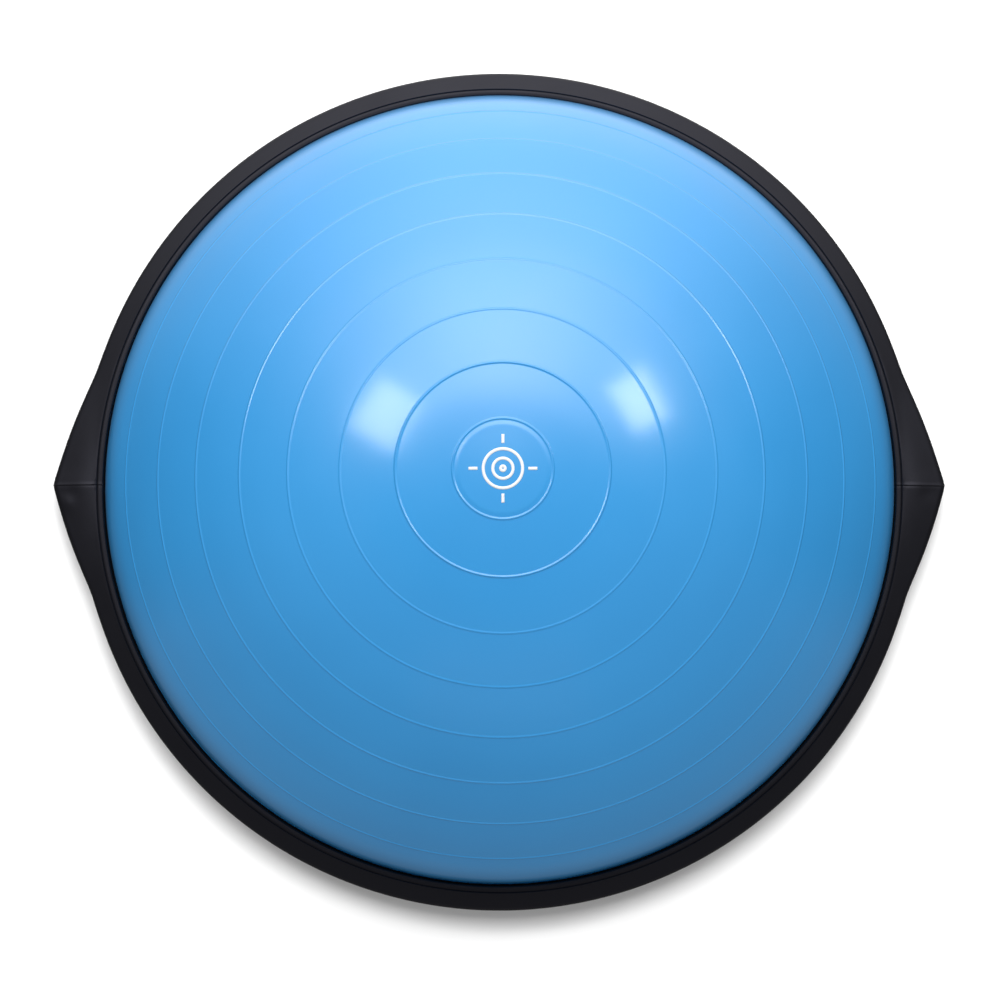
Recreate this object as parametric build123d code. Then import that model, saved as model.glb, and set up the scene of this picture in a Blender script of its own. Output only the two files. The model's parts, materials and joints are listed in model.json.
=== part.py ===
"""Balance dome trainer: an air-filled dome clamped to a flat round platform.

The platform rests on the plane z = 0 with the dome upward. +Z runs up the dome's axis,
and the two finger grips stand out along +X and -X. All sizes are in millimetres.
"""

from build123d import *
import math
import os

os.makedirs("parts", exist_ok=True)

# ---- overall sizes -------------------------------------------------------------------
rim_radius = 325.0          # round outer edge of the rubber rim
grip_reach = 346.0          # tip of each grip, from the dome's axis
grip_shift = 2.8            # the grips sit this far towards +Y of the centre line
foot_height = 3.0           # the feet stand proud of the underside by this much
lip_z = 48.0                # top of the rim's inner lip
apex_z = 253.0              # crown of the inflated dome

# ---- dome ----------------------------------------------------------------------------
dome_radius = 302.6         # widest place of the inflated skin
belt_z = 58.0               # height of that widest place
shoulder_radius = 80.0      # curve that turns the crown down into the rim
skin = 2.4                  # thickness of the moulded skin
first_ring = 36.0           # distance of the first moulded ring from the apex, along the skin
ring_pitch = 41.5           # distance from one moulded ring to the next, along the skin
ring_count = 8
ring_width = 2.6
ring_height = 0.8
crown_disc_dip = 0.4        # the disc inside the first ring lies this much lower
bead_reach = 309.0          # outer edge of the clamped bead
bead_top = 42.5
bead_bottom = 38.0

# ---- rim and clamp -------------------------------------------------------------------
lip_radius = 305.9          # inner edge of the rim's lip
lip_width = 4.6             # from that edge to the fine groove round the rim's top
rim_skin = 3.0              # thickness of the rubber over the grips
rim_fit = 0.2               # gap between the rubber and the platform under it
under_edge = 304.3          # inner edge of the rubber turned under the platform
under_skin = 2.5            # thickness of that turned-under edge
wall_inside = 320.0         # inner face of the rubber's upright wall
clamp_bore = 304.4
clamp_edge = 318.5

# ---- platform ------------------------------------------------------------------------
deck_edge = 319.5
plate = 4.0                 # thickness of the lower deck
upper_deck_bottom = 33.0
upper_deck_top = 36.0
rib = 2.6
rib_rings = (100.0, 190.0, 275.0)
rib_spokes = 12
groove_rings = (60.0, 120.0, 180.0)
screw_count = 16
screw_circle = 313.5
screw_radius = 2.5
boss_radius = 5.5
head_radius = 4.6
head_height = 3.0

# ---- grips ---------------------------------------------------------------------------
grip_angle_front = 16.7     # where each grip runs out into the round rim, degrees
grip_angle_back = 15.0
hollow_inner = 288.0        # inner wall of the finger hollow
hollow_half = 44.0          # half its length along Y
hollow_roof = 30.0
hollow_wall = 3.5

# ---- valve and feet ------------------------------------------------------------------
valve_y = -232.0
well_radius = 20.0
well_roof = 21.0
stem_radius = 8.8
stem_bottom = 15.0
nut_bottom = 15.5
washer_bottom = 19.5
bore_radius = 4.6
plug_fit = 0.08             # radial clearance of the plug's shaft in its bore
foot_circle = 268.0
foot_radius = 16.0
foot_count = 8
foot_seat = 2.0             # depth of the recess that holds each foot

underside = foot_height
deck_step_z = underside + under_skin + rim_fit


def revolved(points):
    """A solid of revolution about Z from a closed outline of (radius, height) points."""
    outline = make_face(Polyline([(r, 0, z) for r, z in points], close=True))
    return revolve(outline, Axis.Z)


def polar(radius, degrees):
    """Place at a radius and bearing from the dome's axis."""
    angle = math.radians(degrees)
    return radius * math.cos(angle), radius * math.sin(angle)


def upright(radius, low, high, x=0.0, y=0.0):
    """A plain cylinder between two heights."""
    return Pos(x, y, (low + high) / 2) * Cylinder(radius, high - low)


def save(shape, name):
    """Write one node, keeping only its solids."""
    solids = shape.solids()
    export_step(solids[0] if len(solids) == 1 else Compound(solids), f"parts/{name}.step")
    volume = sum(s.volume for s in solids)
    print(f"{name}: {len(solids)} solid(s), {volume / 1000:.1f} cm3")


# ---- the dome's curve ----------------------------------------------------------------
# Two tangent arcs: a wide crown centred on the axis, and a shoulder that ends upright.
rise = apex_z - belt_z
run = dome_radius - shoulder_radius
crown_radius = (rise**2 + run**2 - shoulder_radius**2) / (2 * (rise - shoulder_radius))
crown_centre_z = apex_z - crown_radius
crown_angle = math.asin(run / (crown_radius - shoulder_radius))
crown_length = crown_radius * crown_angle


def dome_point(along, lift=0.0):
    """The point a distance along the skin from the apex, lifted off it along the normal."""
    if along <= crown_length:
        angle = along / crown_radius
        radius = crown_radius + lift
        return radius * math.sin(angle), crown_centre_z + radius * math.cos(angle)
    angle = crown_angle + (along - crown_length) / shoulder_radius
    radius = shoulder_radius + lift
    return run + radius * math.sin(angle), belt_z + radius * math.cos(angle)


def flat(point):
    """A (radius, height) point as a 3-D point in the XZ plane."""
    return point[0], 0, point[1]


def dome_arc(start, end, lift=0.0):
    """The arc of the skin between two distances that lie on one side of the shoulder."""
    middle = (start + end) / 2
    points = [flat(dome_point(s, lift)) for s in (start, middle, end)]
    return ThreePointArc(*points)


def dome_bladder():
    """The moulded skin: raised rings outside, smooth inside, and a thick bead at its foot."""
    shoulder_end = crown_length + shoulder_radius * (math.pi / 2 - crown_angle)
    rings = [first_ring + k * ring_pitch for k in range(ring_count)]
    edges = []
    here = 0.0
    for number, ring in enumerate(rings):
        dip = -crown_disc_dip if number == 0 else 0.0
        start, end = ring - ring_width / 2, ring + ring_width / 2
        edges.append(dome_arc(here, start, dip))
        top = flat(dome_point(ring, ring_height))
        edges.append(ThreePointArc(edges[-1] @ 1, top, flat(dome_point(end))))
        here = end
    edges.append(dome_arc(here, crown_length))
    edges.append(dome_arc(crown_length, shoulder_end))
    inner_wall = dome_radius - skin
    edges.append(Line(edges[-1] @ 1, (dome_radius, 0, bead_top)))
    edges.append(Line(edges[-1] @ 1, (bead_reach, 0, bead_top)))
    edges.append(Line(edges[-1] @ 1, (bead_reach, 0, bead_bottom)))
    edges.append(Line(edges[-1] @ 1, (inner_wall, 0, bead_bottom)))
    edges.append(Line(edges[-1] @ 1, (inner_wall, 0, belt_z)))
    edges.append(dome_arc(shoulder_end, crown_length, -skin))
    edges.append(dome_arc(crown_length, 0.0, -skin))
    edges.append(Line(edges[-1] @ 1, edges[0] @ 0))
    return revolve(make_face(edges), Axis.Z)


def bladder_floor():
    """The flat sheet welded under the dome, with the hole that the valve passes through."""
    disc = upright(bead_reach, upper_deck_top, bead_bottom)
    return disc - upright(stem_radius + 0.1, 0, apex_z, 0, valve_y)


# ---- screws --------------------------------------------------------------------------
screw_bearings = [360 / screw_count * (k + 0.5) for k in range(screw_count)]
screw_places = [polar(screw_circle, bearing) for bearing in screw_bearings]
screw_seat = deck_step_z + 0.3 + head_height
screw_tip = 40.4


def screw_holes(radius, low, high):
    """Cutters for every clamp screw between two heights."""
    return [upright(radius, low, high, x, y) for x, y in screw_places]


def clamp_screws():
    """The pan-head screws, all alike, with a cross recess in each head."""
    screws = []
    for (x, y), bearing in zip(screw_places, screw_bearings):
        shank = upright(screw_radius, screw_seat, screw_tip)
        head = upright(head_radius, screw_seat - head_height, screw_seat)
        head = chamfer(head.edges().sort_by(Axis.Z)[0], 1.0)
        low = screw_seat - head_height
        arm = Pos(0, 0, low + 0.8) * Box(4.4, 1.0, 1.6)
        cross = arm + Rot(0, 0, 90) * arm
        screws.append(Pos(x, y, 0) * Rot(0, 0, bearing) * ((shank + head) - cross))
    return Compound([s.solid() for s in screws])


def clamp_ring():
    """The ring that traps the bead: its lip lies over the bead and its body on the deck."""
    body_inside = bead_reach + 0.5
    outline = [
        (clamp_bore, bead_top),
        (body_inside, bead_top),
        (body_inside, upper_deck_top),
        (clamp_edge, upper_deck_top),
        (clamp_edge, 40.2),
        (bead_reach, 44.9),
        (clamp_bore + 1.0, 44.9),
        (clamp_bore, 43.9),
    ]
    return revolved(outline) - screw_holes(screw_radius + 0.05, upper_deck_top - 1, screw_tip + 0.2)


# ---- rubber rim ----------------------------------------------------------------------
def inset(points, depth):
    """A closed outline, drawn anticlockwise, with every side moved inward by a depth."""
    moved = []
    count = len(points)
    for k in range(count):
        sides = []
        for a, b in ((points[k - 1], points[k]), (points[k], points[(k + 1) % count])):
            dx, dz = b[0] - a[0], b[1] - a[1]
            length = math.hypot(dx, dz)
            nx, nz = -dz / length, dx / length
            sides.append((nx, nz, nx * a[0] + nz * a[1] + depth))
        (a1, b1, c1), (a2, b2, c2) = sides
        det = a1 * b2 - a2 * b1
        moved.append(((c1 * b2 - c2 * b1) / det, (a1 * c2 - a2 * c1) / det))
    return moved


def rim_section():
    """The rim's outer contour where it runs into a grip, anticlockwise as (radius, height)."""
    return [
        (290.0, underside),
        (319.0, underside),
        (323.4, 6.0),
        (rim_radius, 11.0),
        (rim_radius, 37.5),
        (323.6, 41.0),
        (320.6, 43.2),
        (290.0, lip_z),
    ]


def nose_section():
    """The same contour at a grip's ridge, where it comes to its tip."""
    return [
        (290.0, underside),
        (329.0, underside),
        (341.5, 9.0),
        (grip_reach, 19.0),
        (grip_reach, 31.5),
        (339.5, 40.0),
        (325.0, 45.6),
        (290.0, lip_z),
    ]


def grip(depth=0.0):
    """The +X grip as a solid with a ridge down its middle, its sides moved in by a depth."""
    sections = []
    for bearing in (-grip_angle_back, None, grip_angle_front):
        if bearing is None:
            corners = [(r, grip_shift, z) for r, z in inset(nose_section(), depth)]
        else:
            ring = inset(rim_section(), depth)
            corners = [(*polar(r, bearing), z) for r, z in ring]
        sections.append(make_face(Polyline(corners, close=True)))
    return loft(sections, ruled=True)


def both_grips(shape):
    """A +X shape and its mirror image at -X."""
    return [shape, mirror(shape, Plane.YZ)]


def hollow_outline():
    """Plan of the finger hollow under the +X grip."""
    low, high = grip_shift - hollow_half, grip_shift + hollow_half
    corners = [
        (hollow_inner, low),
        (320.0, low),
        (336.0, grip_shift),
        (319.5, high),
        (hollow_inner, high),
    ]
    face = make_face(Polyline(corners, close=True))
    return fillet(face.vertices(), 8.0)


def hollow_prism(grow, low, high):
    """The finger hollow between two heights, widened by a distance."""
    face = hollow_outline()
    if grow:
        face = offset(face, grow)
    return Pos(0, 0, low) * extrude(face, high - low, dir=(0, 0, 1))


def rim_cavity():
    """Everything inside the rubber rim: decks, bead and clamp ring."""
    return revolved(
        [
            (280.0, underside + under_skin),
            (wall_inside, underside + under_skin),
            (wall_inside, 39.5),
            (bead_reach, 45.2),
            (280.0, 45.2),
        ]
    )


def rim_ring():
    """The round of the rim, with a rolled lip and the fine groove that runs round its top."""
    groove = lip_radius + lip_width
    low_corner = (319.0, underside), (323.4, 5.2), (rim_radius, 10.0)
    high_corner = (rim_radius, 37.0), (323.7, 40.8), (320.6, 43.2)
    edges = [
        Line((under_edge, 0, underside), flat(low_corner[0])),
        ThreePointArc(*map(flat, low_corner)),
        Line(flat(low_corner[2]), flat(high_corner[0])),
        ThreePointArc(*map(flat, high_corner)),
        Line(flat(high_corner[2]), (groove + 0.6, 0, 47.5)),
        Line((groove + 0.6, 0, 47.5), (groove, 0, 46.8)),
        Line((groove, 0, 46.8), (groove - 0.6, 0, 47.8)),
        Line((groove - 0.6, 0, 47.8), (lip_radius + 0.9, 0, lip_z)),
        ThreePointArc(
            (lip_radius + 0.9, 0, lip_z),
            (lip_radius + 0.26, 0, lip_z - 0.26),
            (lip_radius, 0, lip_z - 0.9),
        ),
        Line((lip_radius, 0, lip_z - 0.9), (lip_radius, 0, 20.0)),
        Line((lip_radius, 0, 20.0), (under_edge, 0, 20.0)),
        Line((under_edge, 0, 20.0), (under_edge, 0, underside)),
    ]
    return revolve(make_face(edges), Axis.Z)


def rim_skirt():
    """One rubber moulding: lip, wall, turned-under edge and the skin over both grips."""
    bore = upright(wall_inside - 8, -10, lip_z + 10)
    outer = rim_ring()
    for shell in both_grips(grip() - bore):
        outer = outer + shell
    for core in both_grips(grip(rim_skin) - bore):
        outer = outer - core
    outer = outer - rim_cavity()
    for cut in both_grips(hollow_prism(1.0, -5, upper_deck_bottom)):
        outer = outer - cut
    return outer


# ---- platform ------------------------------------------------------------------------
def upper_deck():
    """The flat plate that carries the bladder, screwed down at its edge."""
    disc = upright(deck_edge - 1.0, upper_deck_bottom, upper_deck_top)
    valve_hole = upright(stem_radius + 0.4, 0, apex_z, 0, valve_y)
    return disc - [valve_hole, *screw_holes(screw_radius + 0.3, 0, lip_z)]


def deck_ribs():
    """Round and radial ribs that carry the upper deck, clipped clear of the grips."""
    top, bottom = upper_deck_bottom, underside + plate - 0.5
    shapes = []
    for radius in rib_rings:
        ring = upright(radius + rib / 2, bottom, top) - upright(radius - rib / 2, 0, lip_z)
        shapes.append(ring)
    length = deck_edge - 2.0 - 30.0
    spoke = Pos(30 + length / 2, 0, (top + bottom) / 2) * Box(length, rib, top - bottom)
    for k in range(rib_spokes):
        shapes.append(Rot(0, 0, 360 / rib_spokes * (k + 0.5)) * spoke)
    shapes.append(upright(34.0, bottom, top) - upright(31.0, 0, lip_z))
    return shapes


def platform_deck():
    """The lower deck: a flat plate with ribs, screw bosses, a valve well and two grips."""
    body = revolved(
        [
            (0, underside),
            (under_edge - rim_fit, underside),
            (under_edge - rim_fit, deck_step_z),
            (deck_edge, deck_step_z),
            (deck_edge, upper_deck_bottom),
            (deck_edge - 3.5, upper_deck_bottom),
            (deck_edge - 3.5, deck_step_z + plate),
            (under_edge - 4, deck_step_z + plate),
            (under_edge - 4, underside + plate),
            (0, underside + plate),
        ]
    )
    boss_low = deck_step_z + 0.5
    bosses = screw_holes(boss_radius, boss_low, upper_deck_bottom)
    well = upright(well_radius + 3, underside + 0.5, well_roof + 3, 0, valve_y)
    body = body.fuse(*deck_ribs(), *bosses, well)
    # the grips' cores, cut away where the upper deck and clamp ring stand
    stack = upright(deck_edge + rim_fit, upper_deck_bottom, lip_z + 5)
    bore = upright(deck_edge - 10, -10, lip_z + 10)
    for core in both_grips((grip(rim_skin + rim_fit) - bore) - stack):
        body = body + core
    for block in both_grips(hollow_prism(hollow_wall, underside, upper_deck_bottom)):
        inside = upright(under_edge - rim_fit, 0, deck_step_z)
        kept = block & upright(deck_edge, deck_step_z, upper_deck_bottom)
        body = body + kept + (block & inside)
    for cut in both_grips(hollow_prism(0.0, -5, hollow_roof)):
        body = body - cut
    cutters = screw_holes(screw_radius + 0.3, 0, lip_z)
    cutters += screw_holes(head_radius + 0.4, 0, screw_seat)
    cutters.append(upright(well_radius, -5, well_roof, 0, valve_y))
    cutters.append(upright(stem_radius + 0.2, 0, lip_z, 0, valve_y))
    for x, y in foot_places():
        cutters.append(upright(foot_radius + 0.2, -5, underside + foot_seat, x, y))
    # shallow grooves frame the middle of the underside and the band that carries the feet
    for radius in groove_rings:
        groove = upright(radius + 1.5, underside - 1, underside + 0.8)
        cutters.append(groove - upright(radius - 1.5, 0, lip_z))
    return body - cutters


# ---- valve and feet ------------------------------------------------------------------
def valve_seat():
    """The flanged stem welded into the bladder's floor, with a straight bore for the plug."""
    stem = upright(stem_radius, stem_bottom, bead_bottom + 0.01)
    flange = upright(16.0, bead_bottom, bead_bottom + 2.0)
    seat = Pos(0, valve_y, 0) * (stem + flange)
    return seat - upright(bore_radius, 0, lip_z, 0, valve_y)


def valve_washer():
    """The soft washer squeezed between the nut and the roof of the well."""
    ring = upright(14.5, washer_bottom, well_roof) - upright(stem_radius + 0.1, 0, lip_z)
    return Pos(0, valve_y, 0) * ring


def valve_nut():
    """The round nut that locks the stem to the roof of the well, with four wrench slots."""
    ring = upright(13.5, nut_bottom, washer_bottom) - upright(stem_radius + 0.1, 0, lip_z)
    ring = chamfer(ring.edges().group_by(Axis.Z)[0].sort_by(Edge.length)[-1], 0.8)
    slot = Pos(12.6, 0, (nut_bottom + washer_bottom) / 2) * Box(3.0, 3.0, 6.0)
    for k in range(4):
        ring = ring - Rot(0, 0, 90 * k + 45) * slot
    return Pos(0, valve_y, 0) * ring


def valve_plug():
    """The push-in plug: tapered shaft, sealing flange and a waisted knob to pull it by."""
    shaft = bore_radius - plug_fit
    flange_top = stem_bottom - 0.1
    outline = [
        (0, 8.0),
        (4.8, 8.0),
        (5.6, 8.8),
        (5.6, 10.0),
        (3.4, 11.0),
        (3.4, 12.2),
        (8.2, 12.2),
        (8.2, flange_top - 0.5),
        (7.7, flange_top),
        (shaft, flange_top),
        (shaft, 32.0),
        (3.2, 35.0),
        (0, 35.0),
    ]
    return Pos(0, valve_y, 0) * revolved(outline)


def foot_places():
    """Where the feet stand: evenly round the underside, clear of grips and valve."""
    return [polar(foot_circle, 360 / foot_count * (k + 0.5)) for k in range(foot_count)]


def foot():
    """One round rubber foot with a bevelled tread."""
    pad = upright(foot_radius, 0, underside + foot_seat)
    return chamfer(pad.edges().sort_by(Axis.Z)[0], 1.0)


save(dome_bladder(), "dome_bladder")
save(bladder_floor(), "bladder_floor")
save(clamp_ring(), "clamp_ring")
save(clamp_screws(), "clamp_screws")
save(rim_skirt(), "rim_skirt")
save(upper_deck(), "upper_deck")
save(platform_deck(), "platform_deck")
save(valve_seat(), "valve_seat")
save(valve_washer(), "valve_washer")
save(valve_nut(), "valve_nut")
save(valve_plug(), "valve_plug")
for number, (x, y) in enumerate(foot_places(), start=1):
    save(Pos(x, y, 0) * foot(), f"foot_{number}")
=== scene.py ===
# %% [markdown]
# # Dressing a balance dome trainer
#
# The object is half a ball of sky-blue vinyl, blown up hard and clamped into a flat round
# platform. A black rubber rim wraps the platform, and on two sides the rubber is stretched over
# a finger grip, so that it stands out like the corner of a tent.
#
# The solid model already fixes every size and every moving part. Here each surface gets the
# shape and the finish that the eye expects. The frame is loaded first.

# %% Open the frame
import bpy
import json
import math
from mathutils import Matrix, Vector


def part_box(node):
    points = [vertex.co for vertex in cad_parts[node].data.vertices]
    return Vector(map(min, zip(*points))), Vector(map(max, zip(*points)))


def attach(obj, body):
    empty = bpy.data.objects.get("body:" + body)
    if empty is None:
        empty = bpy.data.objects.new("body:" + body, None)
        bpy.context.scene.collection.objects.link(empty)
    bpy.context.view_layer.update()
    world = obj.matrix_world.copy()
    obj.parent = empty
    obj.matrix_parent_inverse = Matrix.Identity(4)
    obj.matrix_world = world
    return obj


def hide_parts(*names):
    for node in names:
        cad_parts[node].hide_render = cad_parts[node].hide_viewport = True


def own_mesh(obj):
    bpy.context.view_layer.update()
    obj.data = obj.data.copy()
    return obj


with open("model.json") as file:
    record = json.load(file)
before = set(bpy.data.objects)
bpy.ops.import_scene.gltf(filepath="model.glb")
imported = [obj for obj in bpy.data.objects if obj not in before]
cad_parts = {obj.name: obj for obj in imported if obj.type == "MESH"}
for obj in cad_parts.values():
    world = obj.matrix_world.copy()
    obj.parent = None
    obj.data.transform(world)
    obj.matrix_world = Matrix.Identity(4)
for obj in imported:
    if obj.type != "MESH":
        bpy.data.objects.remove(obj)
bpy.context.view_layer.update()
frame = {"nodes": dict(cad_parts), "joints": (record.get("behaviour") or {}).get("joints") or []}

# %% [markdown]
# ## Read the sizes off the frame
#
# All lengths below are in metres. What the frame can tell is asked of the frame: how high the
# crown stands, how far the rim reaches and where the clamped foot of the skin ends. Only the
# sizes that a box can't give, such as the curve of the shoulder, are written out.

# %% Main sizes
mm = 0.001
dome_low, dome_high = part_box("dome_bladder")
rim_low, rim_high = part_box("rim_skirt")
disc_rise = 0.45 * mm        # the disc at the crown stands this much above the skin round it
crown_z = dome_high.z - disc_rise
foot_z = dome_low.z
bead_radius = dome_high.x
rim_radius = rim_high.y
grip_reach = rim_high.x
underside_z = rim_low.z
lip_z = rim_high.z

dome_radius = 302.6 * mm     # widest place of the blown-up skin
belt_z = 58 * mm             # height of that widest place
shoulder_radius = 80 * mm    # the curve that turns the crown down into the rim
skin_thickness = 2.4 * mm
lip_radius = 305.9 * mm      # inner edge of the rubber rim
print("crown", round(crown_z, 4), "rim radius", round(rim_radius, 4), "grip tip", round(grip_reach, 4))

# %% [markdown]
# ## Place the camera
#
# The trainer is seen from almost straight above, tipped a little towards the side with the air
# valve. A long lens from more than two and a half metres keeps the round rim round. The camera is
# made before anything else.

# %% Camera
camera_distance = 2.6
lens_mm = 121.15
tip_towards_valve = math.radians(3.7)
tip_towards_left = math.radians(0.6)
aim = Vector((0.1 * mm, -9.1 * mm, 44 * mm))

camera_data = bpy.data.cameras.new("studio_camera")
camera_data.lens = lens_mm
camera_data.sensor_width = 36
camera = bpy.data.objects.new("studio_camera", camera_data)
bpy.context.scene.collection.objects.link(camera)
back = Vector((-math.tan(tip_towards_left), -math.tan(tip_towards_valve), 1)).normalized()
right = Vector((0, 1, 0)).cross(back).normalized()
up = back.cross(right)
turn = Matrix((right, up, back)).transposed().to_4x4()
camera.matrix_world = Matrix.Translation(aim + camera_distance * back) @ turn
bpy.context.scene.camera = camera
print("camera at", [round(v, 3) for v in camera.location])

# %% [markdown]
# ## Three small tools for making meshes
#
# Nearly everything here is a section carried round the dome's axis, so one helper turns a grid of
# points into a mesh: each column is one section, and the columns are joined side by side. The
# section may be open, like a curved sheet, or closed, like a hoop. Where the surface should reach the
# axis, a fan of triangles closes the middle round one extra point.

# %% Mesh helpers
def new_piece(name, points, faces):
    """A mesh object from points and faces, with smooth shading."""
    mesh = bpy.data.meshes.new(name)
    mesh.from_pydata(points, [], faces)
    mesh.validate()
    mesh.shade_smooth()
    piece = bpy.data.objects.new(name, mesh)
    bpy.context.scene.collection.objects.link(piece)
    return piece


def ring_of_sections(name, columns, closed_section=False, poles=()):
    """Joins equal-length columns of points into a ring. Poles are points that close both ends."""
    rows = len(columns[0])
    count = len(columns)
    points = [p for column in columns for p in column]
    faces = []
    spans = rows if closed_section else rows - 1
    for c in range(count):
        here, there = c * rows, (c + 1) % count * rows
        for r in range(spans):
            s = (r + 1) % rows
            faces.append((here + r, here + s, there + s, there + r))
    for row, pole in poles:
        points.append(pole)
        hub = len(points) - 1
        for c in range(count):
            here, there = c * rows + row, (c + 1) % count * rows + row
            faces.append((hub, here, there) if row == 0 else (hub, there, here))
    piece = new_piece(name, points, faces)
    print(f"{name}: {len(points)} points, {len(faces)} faces")
    return piece


def sharpen(piece, degrees):
    """Keeps an edge crisp where two faces meet at more than this angle."""
    piece.data.set_sharp_from_angle(angle=math.radians(degrees))


print("mesh tools ready: new_piece, ring_of_sections, sharpen")

# %% [markdown]
# ## The dome's curve
#
# Air pushes a flat-cut skin into a curve with a wide crown and a tighter shoulder just above the
# rim, where the clamp holds it back. Two arcs that meet without a corner draw it well. The radius
# of the crown isn't chosen: it is the only one that passes through the crown point and also
# touches the shoulder.
#
# Every place on the skin is then given by one number, the distance walked from the crown, which
# is how the rings were laid out in the mould.

# %% Dome curve
rise = crown_z - belt_z
run = dome_radius - shoulder_radius
crown_radius = (rise**2 + run**2 - shoulder_radius**2) / (2 * (rise - shoulder_radius))
crown_angle = math.asin(run / (crown_radius - shoulder_radius))
crown_length = crown_radius * crown_angle
skin_length = crown_length + shoulder_radius * (math.pi / 2 - crown_angle)


def skin_point(along, lift=0.0):
    """(radius, height) at a distance along the skin from the crown, lifted off it."""
    if along <= crown_length:
        angle = along / crown_radius
        reach = crown_radius + lift
        return reach * math.sin(angle), crown_z - crown_radius + reach * math.cos(angle)
    angle = crown_angle + (along - crown_length) / shoulder_radius
    reach = shoulder_radius + lift
    return run + reach * math.sin(angle), belt_z + reach * math.cos(angle)


print("crown radius", round(crown_radius, 4), "skin from crown to belt", round(skin_length, 4))

# %% [markdown]
# ## Eight moulded rings and a raised disc
#
# The rings are low rounded ridges, evenly spaced along the skin. They are less than a millimetre
# high, but the skin is glossy, so each one catches the lights as a bright hair-line. The two
# nearest the crown, which feet look for, stand highest, and the others are flatter. They are real
# geometry: a bump map would shimmer at this size, and it would be lost at the dome's edge.
#
# The disc inside the first ring stands slightly above the skin around it, like a flat button, and
# rolls down to meet the ring, so its border shows as a double line.

# %% Ring heights
first_ring = 36 * mm
ring_pitch = 41.5 * mm
ring_count = 8
ring_half_width = 1.4 * mm
crown_ring_height = 0.60 * mm
ring_height = 0.34 * mm
disc_shoulder = 5 * mm
rings = [first_ring + k * ring_pitch for k in range(ring_count)]


def smooth_step(x):
    """0 below 0, 1 above 1, and an even S between."""
    x = min(max(x, 0.0), 1.0)
    return x * x * (3 - 2 * x)


def skin_lift(along):
    """How far the moulded surface stands off the plain curve."""
    lift = disc_rise * smooth_step((first_ring - along) / disc_shoulder)
    for number, ring in enumerate(rings):
        off = abs(along - ring) / ring_half_width
        if off < 1:
            height = crown_ring_height if number < 2 else ring_height
            lift += height * (0.5 + 0.5 * math.cos(math.pi * off))
    return lift


print("rings, millimetres along the skin:", [round(ring / mm, 1) for ring in rings])

# %% [markdown]
# ## The skin as one mesh
#
# Steps of six millimetres are enough for the plain skin, and each ring gets steps a sixteenth of its
# width. The section goes on down behind the rim, turns out into the bead that the clamp holds, and
# comes back up inside, so the dome is a real shell with a thickness.

# %% Dome mesh
turns = 360
plain_step = 6 * mm
stations = set()
for k in range(1, int(skin_length / plain_step)):
    stations.add(round(k * plain_step, 6))
for ring in rings:
    for k in range(-10, 11):
        stations.add(round(ring + k * ring_half_width / 8, 6))
for k in range(1, 9):
    stations.add(round(first_ring - k * disc_shoulder / 8, 6))
stations.add(round(skin_length, 6))

outer_skin = [skin_point(s, skin_lift(s)) for s in sorted(stations)]
bead_top_z = foot_z + 4.5 * mm
inner_radius = dome_radius - skin_thickness
foot = [
    (dome_radius, bead_top_z + 6 * mm),
    (dome_radius, bead_top_z + 0.6 * mm),
    (dome_radius + 0.6 * mm, bead_top_z),
    (bead_radius - 0.8 * mm, bead_top_z),
    (bead_radius, bead_top_z - 0.8 * mm),
    (bead_radius, foot_z + 0.8 * mm),
    (bead_radius - 0.8 * mm, foot_z),
    (inner_radius, foot_z),
    (inner_radius, belt_z),
]
inner_steps = 40
inner_skin = [
    skin_point(skin_length * (1 - k / inner_steps), -skin_thickness)
    for k in range(1, inner_steps)
]
section = outer_skin + foot + inner_skin

columns = []
for c in range(turns):
    angle = 2 * math.pi * c / turns
    columns.append([(r * math.cos(angle), r * math.sin(angle), z) for r, z in section])
crown_top = (0, 0, crown_z + skin_lift(0))
crown_inside = (0, 0, crown_z - skin_thickness)
dome = ring_of_sections("dome_skin", columns, poles=[(0, crown_top), (len(section) - 1, crown_inside)])
sharpen(dome, 50)

# %% [markdown]
# ## A printed mark on the crown
#
# A user steps onto the middle of the dome, so the middle is marked with a plain target: two rings,
# a small one at the centre, and four short ticks, in white ink. It is a film of its own that lies on
# the raised disc, a tenth of a millimetre thick, and it follows the curve. Each stroke is a small
# patch drawn in two directions, along the skin and round it.

# %% Crown print
ink = 0.12 * mm
stroke = 2.2 * mm
mark_points, mark_faces = [], []


def on_skin(along, angle, lift):
    """A point on the skin, a distance from the crown and at an angle round it."""
    r, z = skin_point(along, skin_lift(along) + lift)
    return (r * math.cos(angle), r * math.sin(angle), z)


def print_patch(place, across, round_steps, closed):
    """A patch of ink. place(u, v, lift) gives its points for u and v from 0 to 1."""
    base = len(mark_points)
    stride = across + 1
    columns_made = round_steps if closed else round_steps + 1
    for lift in (0.02 * mm, ink):
        for v in range(columns_made):
            for u in range(stride):
                mark_points.append(place(u / across, v / round_steps, lift))
    top = base + stride * columns_made
    for v in range(round_steps):
        a, b = v * stride, (v + 1) % columns_made * stride
        for u in range(across):
            mark_faces.append((top + a + u, top + a + u + 1, top + b + u + 1, top + b + u))
            mark_faces.append((base + a + u, base + b + u, base + b + u + 1, base + a + u + 1))
        for u, flip in ((0, False), (across, True)):
            side = (base + a + u, top + a + u, top + b + u, base + b + u)
            mark_faces.append(side[::-1] if flip else side)
    if not closed:
        for v, flip in ((0, True), (round_steps * stride, False)):
            for u in range(across):
                end = (base + v + u, top + v + u, top + v + u + 1, base + v + u + 1)
                mark_faces.append(end[::-1] if flip else end)


def print_ring(radius):
    """A ring of ink round the crown."""
    print_patch(
        lambda u, v, lift: on_skin(radius + (u - 0.5) * stroke, 2 * math.pi * v, lift), 2, 160, True
    )


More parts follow.
